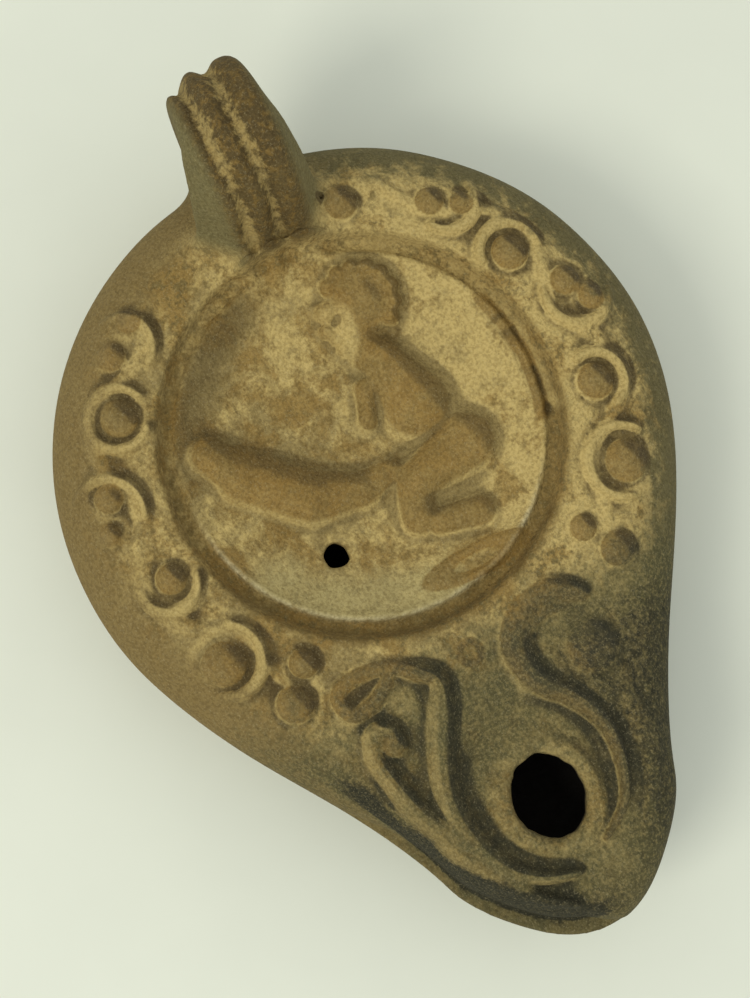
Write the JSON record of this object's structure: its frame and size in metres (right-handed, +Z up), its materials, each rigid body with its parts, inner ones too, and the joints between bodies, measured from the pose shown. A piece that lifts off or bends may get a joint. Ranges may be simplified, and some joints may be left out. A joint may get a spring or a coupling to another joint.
{
  "type": "roman oil lamp",
  "caption": "Hollow clay oil lamp with a dished relief disc, vine-wreathed shoulder, volute nozzle with wick hole and a pierced ribbed handle.",
  "frame": {"origin": "centre of the flat round base, on the plane the lamp stands on", "axes": "+X from the body axis towards the nozzle, +Z up, +Y to the left of a person looking along +X"},
  "size_m": [0.116, 0.079, 0.0427],
  "materials": {
    "lamp": "unglazed fired clay, dusty ochre in the hollows, brown on the worn relief, grey soot round the nozzle"
  },
  "bodies": {
    "root": {"lamp": "lamp"}
  },
  "joints": []
}
